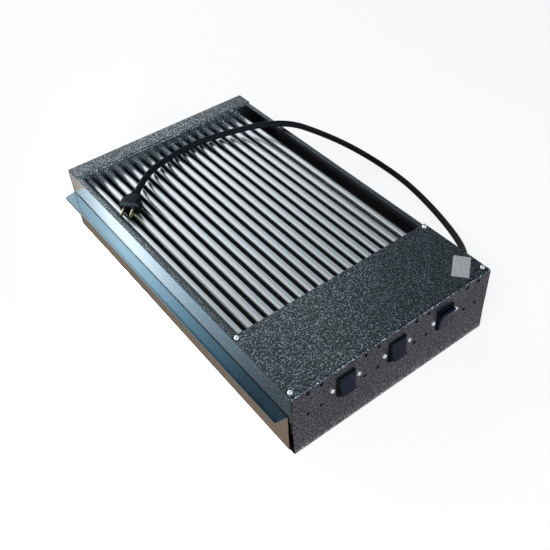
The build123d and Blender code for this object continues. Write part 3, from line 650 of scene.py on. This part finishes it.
relief = start_piece("cord_relief", bpy.ops.mesh.primitive_cylinder_add, vertices=32,
                     radius=RELIEF_RADIUS, depth=RELIEF_THICKNESS, location=(0, 0, RELIEF_THICKNESS / 2))
pick(relief, "FACE", lambda middle, normal: normal.z < -0.9)
step_to(STEM_SHRINK)
pull(0, 0, -RELIEF_STEM)
pick(relief, "FACE", lambda middle, normal: normal.z > 0.9 and middle.z > 0.002)
step_to(SLEEVE_SHRINK, centre=(0, 0, RELIEF_THICKNESS))
pull_ribs(5, (0, 0, 1), rib=0.0014, groove=0.0010, dip=0.90, taper=0.965)
bore = start_piece("bore", bpy.ops.mesh.primitive_cylinder_add, vertices=32, radius=RELIEF_BORE,
                   depth=RELIEF_BORE_LENGTH)
cut(relief, bore)
round_edges(relief, RELIEF_ROUNDING, 2)
relief.data.transform(Matrix.Translation(RELIEF_PLACE) @ Matrix.Rotation(math.pi / 2, 4, "Y"))
hand_over(relief, rubber, "housing", "inner_plastic", "strain_relief")

# %% [markdown]
# ## Bare label plate
# A thin silver foil plate sticks on the cover near its right end. The plate stays bare. Its foil has a
# few shallow wrinkles, which a cloth simulation could give. A fine grid is quicker and comes out the
# same each time: the inner points are moved a little at random from a fixed seed and smoothed, and the
# sheet then gets a thickness.

# %% Bare label plate
PLATE_SIZE = (0.0363, 0.0209)
PLATE_MIDDLE = (0.1354, -0.2303)
PLATE_ANGLE = math.atan2(-0.627, -0.779)
PLATE_THICKNESS = 0.00015
WRINKLED_PART = (0.46, 0.45)
WRINKLE = 0.00035

foil = Finish("plate_foil", Metallic=0.35)
cloudy = foil.noise(300.0)
foil.set(Base_Color=cloudy.pick((0.34, 0.34, 0.34), (0.46, 0.46, 0.45)), Roughness=cloudy * 0.2 + 0.38)
foil.bump(foil.noise(160.0, 3.0), 0.3, 0.0004)


def may_wrinkle(middle, normal):
    limits = [share * size for share, size in zip(WRINKLED_PART, PLATE_SIZE)]
    return abs(middle.x) < limits[0] and abs(middle.y) < limits[1]


plate = start_piece("bare_plate", bpy.ops.mesh.primitive_grid_add, scale=(*PLATE_SIZE, 1.0), size=1.0,
                    x_subdivisions=24, y_subdivisions=16)
pick(plate, "FACE", may_wrinkle)
bpy.ops.transform.vertex_random(offset=WRINKLE, uniform=0.0, normal=1.0, seed=5)
bpy.ops.mesh.vertices_smooth(factor=0.5, repeat=2)
apply(plate, "SOLIDIFY", thickness=PLATE_THICKNESS, offset=1.0)
lowest = min(vertex.co.z for vertex in plate.data.vertices)
plate_place = Matrix.Translation((*PLATE_MIDDLE, TOP_Z - lowest)) @ Matrix.Rotation(PLATE_ANGLE, 4, "Z")
plate.data.transform(plate_place)
hand_over(plate, foil, "housing", "screw_chrome")

# %% [markdown]
# ## Cord
# The cord leaves the right wall, loops over the table, climbs over the rim and lies across the tubes
# to its plug. A Bezier curve through the points would do, with handles to set at each of them. One open
# NURBS spline needs no handles and bends the way a rubber lead does: it never has a corner, and it cuts
# a little inside each point of the route.

# %% Cord
CORD_DIAMETER = 0.009
CORD_ROUTE = [
    (0.1483, -0.1913, 0.0460),
    (0.1965, -0.1913, 0.0460),
    (0.2425, -0.1453, 0.0170),
    (0.2765, -0.0693, 0.0046),
    (0.2945, 0.0147, 0.0046),
    (0.2955, 0.0907, 0.0050),
    (0.2625, 0.1237, 0.0343),
    (0.2085, 0.1347, 0.0773),
    (0.1655, 0.1377, 0.1083),
    (0.1295, 0.1647, 0.1083),
    (0.0925, 0.1972, 0.0940),
    (0.0445, 0.2097, 0.0918),
    (-0.0055, 0.2052, 0.0918),
    (-0.0575, 0.1882, 0.0961),
    (-0.0895, 0.1582, 0.0961),
]

cord_curve = bpy.data.curves.new("mains_cord", "CURVE")
cord_curve.dimensions = "3D"
cord_curve.bevel_depth = CORD_DIAMETER / 2
cord_curve.bevel_resolution = 6
cord_curve.use_fill_caps = True
spline = cord_curve.splines.new("NURBS")
spline.points.add(len(CORD_ROUTE) - 1)
for point, place in zip(spline.points, CORD_ROUTE):
    point.co = (*place, 1.0)
spline.order_u = 3
spline.use_endpoint_u = True
spline.resolution_u = 10
cord = bpy.data.objects.new("mains_cord", cord_curve)
bpy.context.scene.collection.objects.link(cord)
cord_curve.materials.append(rubber.material)
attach(cord, "housing")
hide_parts("power_cord")
print("cord points", len(CORD_ROUTE))

# %% [markdown]
# ## Floor, light and surroundings
# The photograph has a plain white ground with hardly any shadow. What the steel mirrors is another
# matter: a room, a workbench and a window that the picture does not show. So the ground that the camera
# sees and the surroundings that the steel sees are built apart.
#
# The floor comes first. A white material alone turns grey where the light falls off. So most of the floor
# glows for the camera and for reflections, and the rest stays matt and keeps a soft shadow.

# %% Floor
FLOOR_SIZE = 6.0
FLOOR_DROP = 0.0005
FLOOR_GLOW = 0.8
WHITE = (1.0, 1.0, 1.0, 1.0)

bpy.ops.object.select_all(action="DESELECT")
bpy.ops.mesh.primitive_plane_add(size=FLOOR_SIZE, location=(0, 0, -FLOOR_DROP))
floor = bpy.context.object
floor.name = "floor"
floor_finish = Finish("floor_white", Base_Color=(0.92, 0.92, 0.92, 1.0), Roughness=0.9)
eye = floor_finish.start.node("ShaderNodeLightPath", {}, output="Is Camera Ray")
shiny = floor_finish.start.node("ShaderNodeLightPath", {}, output="Is Glossy Ray")
clear = floor_finish.start.node("ShaderNodeLightPath", {}, output="Is Transmission Ray")
glow = floor_finish.start.node("ShaderNodeEmission", {"Color": WHITE})
matt = Field(floor_finish.tree, floor_finish.shader.outputs[0])
glow_share = eye.larger(shiny).larger(clear) * FLOOR_GLOW
mixed = floor_finish.start.node("ShaderNodeMixShader", {"Fac": glow_share, 1: matt, 2: glow})
floor_finish.shine_with(mixed)
floor.data.materials.append(floor_finish.material)
print("floor", FLOOR_SIZE)

# %% [markdown]
# ### Backdrop
# Past the edge of the floor the camera would see the sky, which is made for reflections. A transparent
# film could hide it, but render settings are not part of this lesson. A large white ball round the scene
# that only the camera sees does the same.

# %% White backdrop
BACKDROP_RADIUS = 20.0

bpy.ops.object.select_all(action="DESELECT")
bpy.ops.mesh.primitive_uv_sphere_add(segments=32, ring_count=16, radius=BACKDROP_RADIUS)
backdrop = bpy.context.object
backdrop.name = "backdrop"
backdrop_finish = Finish("backdrop_white")
backdrop_finish.shine_with(backdrop_finish.start.node("ShaderNodeEmission", {"Color": WHITE}))
backdrop.data.materials.append(backdrop_finish.material)
backdrop.visible_diffuse = False
backdrop.visible_glossy = False
backdrop.visible_transmission = False
backdrop.visible_shadow = False
print("backdrop", BACKDROP_RADIUS)

# %% [markdown]
# ### Reflection cards
# The photograph's steel mirrors a brown workbench on the left and duller things elsewhere. A real bench
# could be modelled, but the camera would see it too. Four cards just above the floor stand in for it, so
# that upright steel has something other than white to mirror. They are kept from the camera, from
# diffuse light and from shadows.

# %% Reflection cards
# Each row is a name, a middle, a width and depth, and a tint.
CARD_RISE = 0.0002
CARDS = (
    ("card_left", (-0.72, 0.0), (1.16, 2.6), (0.25, 0.19, 0.145)),
    ("card_front", (0.62, -0.77), (1.6, 1.02), (0.29, 0.255, 0.29)),
    ("card_right", (0.80, 0.005), (1.24, 0.53), (0.30, 0.29, 0.29)),
    ("card_back", (0.64, 1.07), (1.56, 1.60), (0.30, 0.29, 0.29)),
)

for name, (x, y), (wide, deep), tint in CARDS:
    bpy.ops.object.select_all(action="DESELECT")
    bpy.ops.mesh.primitive_plane_add(size=1.0, location=(x, y, CARD_RISE))
    card = bpy.context.object
    card.name = name
    card.scale = (wide, deep, 1.0)
    card.visible_camera = False
    card.visible_diffuse = False
    card.visible_shadow = False
    card_finish = Finish(f"{name}_warm")
    dust = card_finish.noise(9.0, 3.0)
    card_tint = dust.pick([0.8 * share for share in tint], [1.3 * share for share in tint])
    card_finish.shine_with(card_finish.start.node("ShaderNodeEmission", {"Color": card_tint}))
    card.data.materials.append(card_finish.material)
print("cards", len(CARDS))

# %% [markdown]
# ### Sky
# Steel shows what lies around it, so the world is a sky with parts: pale to the left, blue to the right,
# dark overhead. Lamps and panels could do this too, but a sky has no edges and costs no geometry. A
# direction is given by its three shares: across to the right, along to the back, and height.
#
# Six parts of the sky differ from the rest. The dim part at the left tones down what the flanks of the
# tubes mirror. The shade high at the right is what the cover's right end mirrors. The roof at the back
# gives the front of the tubes a grey body, and the patch beside it brightens the cover's left end. The
# window behind the camera lights folded edges and screw heads. The glow low at the back makes the rear
# of the tubes nearly white.

# %% Sky
PALE_STOPS = [
    (0.00, (0.95, 1.00, 1.05)),
    (0.56, (1.00, 1.08, 1.10)),
    (0.635, (1.20, 1.28, 1.30)),
    (0.69, (0.68, 0.98, 1.16)),
    (0.79, (0.035, 0.075, 0.11)),
    (1.00, (0.03, 0.05, 0.06)),
]
BLUE_STOPS = [
    (0.00, (0.50, 0.54, 0.58)),
    (0.50, (0.52, 0.64, 0.74)),
    (0.59, (0.50, 0.66, 0.78)),
    (0.70, (0.12, 0.34, 0.52)),
    (0.83, (0.012, 0.035, 0.06)),
    (1.00, (0.08, 0.11, 0.12)),
]
SHADE_TINT = (0.008, 0.012, 0.016)
DIM_TINT = (0.40, 0.45, 0.45)
ROOF_TINT = (0.58, 0.63, 0.64)
PATCH_TINT = (1.00, 1.10, 1.12)
WINDOW_TINT = (1.9, 2.3, 2.8)
GLOW_TINT = (1.20, 1.30, 1.40)


def share(axis):
    return sky.node("ShaderNodeSeparateXYZ", {"Vector": direction}, output=axis)


world = bpy.data.worlds.new("surroundings")
bpy.context.scene.world = world
world.use_nodes = True
sky = Field(world.node_tree)
direction = sky.node("ShaderNodeTexCoord", {}, output="Generated")
across, along, height = share("X"), share("Y"), share("Z")
pale = sky.node("ShaderNodeValToRGB", {"Fac": height}, {"stops": PALE_STOPS})
blue = sky.node("ShaderNodeValToRGB", {"Fac": height}, {"stops": BLUE_STOPS})
sides = across.smooth(-0.25, 0.22).pick(pale, blue)
left_side = 1 - across.smooth(-0.46, -0.34)
not_back = 1 - along.smooth(0.54, 0.72)
dim = not_back * left_side * height.smooth(0.0, 0.1)
shade = across.smooth(0.44, 0.52) * height.smooth(0.30, 0.60)
roof = across.between((-0.20, -0.12), (0.10, 0.18)) * height.smooth(0.58, 0.66) * along.smooth(0.53, 0.68)
patch = across.between((0.32, 0.38), (0.42, 0.50)) * height.smooth(0.30, 0.45) * along.smooth(0.30, 0.45)
in_front = 1 - along.smooth(-0.55, -0.35)
window = in_front * across.between((0.05, 0.20), (0.50, 0.60)) * height.smooth(0.35, 0.50)
not_right = 1 - across.smooth(0.40, 0.50)
glow = along.smooth(0.62, 0.74) * height.smooth(0.25, 0.40) * not_right
colour = dim.pick(sides, DIM_TINT)
colour = shade.pick(colour, SHADE_TINT)
colour = roof.pick(colour, ROOF_TINT)
colour = patch.pick(colour, PATCH_TINT)
colour = window.pick(colour, WINDOW_TINT)
colour = glow.pick(colour, GLOW_TINT)
sky.plug(world.node_tree.nodes["Background"].inputs["Color"], colour)
print("sky stops", len(PALE_STOPS) + len(BLUE_STOPS))

# %% [markdown]
# ### Lamps
# Five soft lamps light what is not a mirror: paint, plastic and rubber. They stay out of reflections, so
# that no bright square shows in the steel. The small lamp close to the left wall gives the wall's thin
# haze its fall from a bright rear end to a dark front end.

# %% Lamps
# Each row is a name, a place, a size, a power in watts and a tint.
LAMPS = (
    ("key_lamp", (-0.60, -0.50, 0.80), 0.6, 7.0, (1.0, 1.0, 1.0)),
    ("fill_lamp", (1.4, -0.9, 1.5), 1.4, 2.0, (1.0, 1.0, 1.0)),
    ("back_lamp", (-0.1, 1.2, 0.9), 0.8, 6.0, (1.0, 1.0, 1.0)),
    ("front_lamp", (0.4, -1.5, 0.6), 0.8, 4.0, (0.85, 0.84, 1.0)),
    ("side_lamp", (-0.28, 0.12, 0.10), 0.08, 12.5, (0.92, 0.98, 1.0)),
)
for name, place, size, power, tint in LAMPS:
    lamp = bpy.data.objects.new(name, bpy.data.lights.new(name, "AREA"))
    lamp.data.size = size
    lamp.data.energy = power
    lamp.data.color = tint
    lamp.location = place
    lamp.rotation_euler = (-Vector(place)).to_track_quat("-Z", "Y").to_euler()
    lamp.visible_glossy = False
    lamp.visible_camera = False
    bpy.context.scene.collection.objects.link(lamp)
bpy.context.scene.view_settings.view_transform = "Standard"
print("lamps", len(LAMPS))
